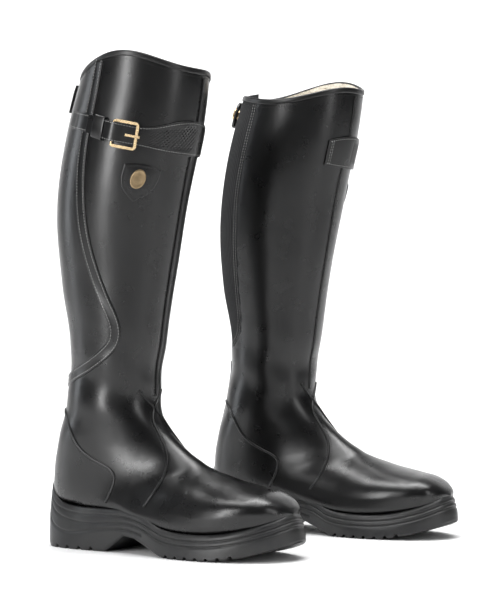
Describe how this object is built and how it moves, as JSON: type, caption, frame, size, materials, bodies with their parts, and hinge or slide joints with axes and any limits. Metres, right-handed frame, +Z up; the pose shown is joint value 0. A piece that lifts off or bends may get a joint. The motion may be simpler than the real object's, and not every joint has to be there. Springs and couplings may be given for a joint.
{
  "type": "riding boots",
  "caption": "A pair of tall black leather winter riding boots with back zips, elastic gussets, buckled top straps, fleece lining and moulded rubber soles",
  "frame": {"origin": "middle of the pair's footprint, on the ground", "axes": "+Z up the legs, +X towards the toes of the right boot, +Y from the right boot to the left boot"},
  "size_m": [0.3138, 0.3538, 0.4635],
  "materials": {
    "upper_leather": "smooth full-grain, semi-gloss",
    "leather_trim": "smooth edge binding and piping",
    "sole_rubber": "satin moulded rubber",
    "fleece": "cream pile",
    "fibre_board": "pressed fibre board",
    "spring_steel": "plain",
    "elastic": "ribbed woven elastic",
    "zip_tape": "woven tape",
    "zip_teeth": "moulded teeth",
    "zip_metal": "satin black",
    "pale_brass": "polished, pale"
  },
  "bodies": {
    "right_boot": {"right_outsole": "sole_rubber", "right_insole_board": "fibre_board", "right_shank": "spring_steel", "right_footbed": "fleece", "right_lining": "fleece", "right_counter_stiffener": "fibre_board", "right_vamp": "upper_leather", "right_heel_counter": "upper_leather", "right_outer_quarter": "upper_leather", "right_inner_quarter": "upper_leather", "right_calf_panel": "upper_leather", "right_elastic_gusset": "elastic", "right_backstay": "upper_leather", "right_calf_strip": "upper_leather", "right_top_binding": "leather_trim", "right_piping": "leather_trim", "right_zip_tapes": "zip_tape", "right_zip_coils": "zip_teeth", "right_snap_stud": "pale_brass", "right_chape_strap": "upper_leather", "right_billet_strap": "upper_leather", "right_strap_keeper": "upper_leather", "right_badge_patch": "upper_leather", "right_badge_plate": "pale_brass"},
    "right_slider": {"right_zip_slider": "zip_metal"},
    "right_pull": {"right_zip_pull": "zip_metal"},
    "right_tab": {"right_snap_tab": "upper_leather", "right_snap_cap": "pale_brass"},
    "right_buckle": {"right_buckle_frame": "pale_brass"},
    "right_prong": {"right_buckle_prong": "pale_brass"},
    "left_boot": {"left_outsole": "sole_rubber", "left_insole_board": "fibre_board", "left_shank": "spring_steel", "left_footbed": "fleece", "left_lining": "fleece", "left_counter_stiffener": "fibre_board", "left_vamp": "upper_leather", "left_heel_counter": "upper_leather", "left_outer_quarter": "upper_leather", "left_inner_quarter": "upper_leather", "left_calf_panel": "upper_leather", "left_elastic_gusset": "elastic", "left_backstay": "upper_leather", "left_calf_strip": "upper_leather", "left_top_binding": "leather_trim", "left_piping": "leather_trim", "left_zip_tapes": "zip_tape", "left_zip_coils": "zip_teeth", "left_snap_stud": "pale_brass", "left_chape_strap": "upper_leather", "left_billet_strap": "upper_leather", "left_strap_keeper": "upper_leather", "left_badge_patch": "upper_leather", "left_badge_plate": "pale_brass"},
    "left_slider": {"left_zip_slider": "zip_metal"},
    "left_pull": {"left_zip_pull": "zip_metal"},
    "left_tab": {"left_snap_tab": "upper_leather", "left_snap_cap": "pale_brass"},
    "left_buckle": {"left_buckle_frame": "pale_brass"},
    "left_prong": {"left_buckle_prong": "pale_brass"}
  },
  "joints": [
    {"name": "left_boot_lift", "type": "slide", "parent": "right_boot", "child": "left_boot", "axis": [0, 0, 1], "range_m": [0, 0.55]},
    {"name": "right_zip_travel", "type": "hinge", "parent": "right_boot", "child": "right_slider", "pos_m": [0.275, -0.1105, 0.29], "axis": [0, -1, 0], "range_deg": [0, 26.17]},
    {"name": "right_pull_swing", "type": "hinge", "parent": "right_slider", "child": "right_pull", "pos_m": [-0.13053, -0.1105, 0.40328], "axis": [0, 1, 0], "range_deg": [0, 100]},
    {"name": "right_tab_fold", "type": "hinge", "parent": "right_boot", "child": "right_tab", "pos_m": [-0.12145, -0.1353, 0.426], "axis": [0.3238, 0, 0.9461], "range_deg": [0, 120]},
    {"name": "right_buckle_swing", "type": "hinge", "parent": "right_boot", "child": "right_buckle", "pos_m": [-0.04924, -0.17019, 0.388], "axis": [-0.2081, 0.0027, -0.9781], "range_deg": [0, 60]},
    {"name": "right_prong_swing", "type": "hinge", "parent": "right_buckle", "child": "right_prong", "pos_m": [-0.04924, -0.17019, 0.388], "axis": [-0.2081, 0.0027, -0.9781], "range_deg": [0, 45]},
    {"name": "left_zip_travel", "type": "hinge", "parent": "left_boot", "child": "left_slider", "pos_m": [0.31612, 0.13575, 0.29], "axis": [0.0698, -0.9976, 0], "range_deg": [0, 26.17]},
    {"name": "left_pull_swing", "type": "hinge", "parent": "left_slider", "child": "left_pull", "pos_m": [-0.08842, 0.10746, 0.40328], "axis": [-0.0698, 0.9976, 0], "range_deg": [0, 100]},
    {"name": "left_tab_fold", "type": "hinge", "parent": "left_boot", "child": "left_tab", "pos_m": [-0.0811, 0.13284, 0.426], "axis": [-0.323, -0.0226, -0.9461], "range_deg": [0, 120]},
    {"name": "left_buckle_swing", "type": "hinge", "parent": "left_boot", "child": "left_buckle", "pos_m": [-0.0115, 0.17268, 0.388], "axis": [0.2074, 0.0172, 0.9781], "range_deg": [0, 60]},
    {"name": "left_prong_swing", "type": "hinge", "parent": "left_buckle", "child": "left_prong", "pos_m": [-0.0115, 0.17268, 0.388], "axis": [0.2074, 0.0172, 0.9781], "range_deg": [0, 45]}
  ]
}
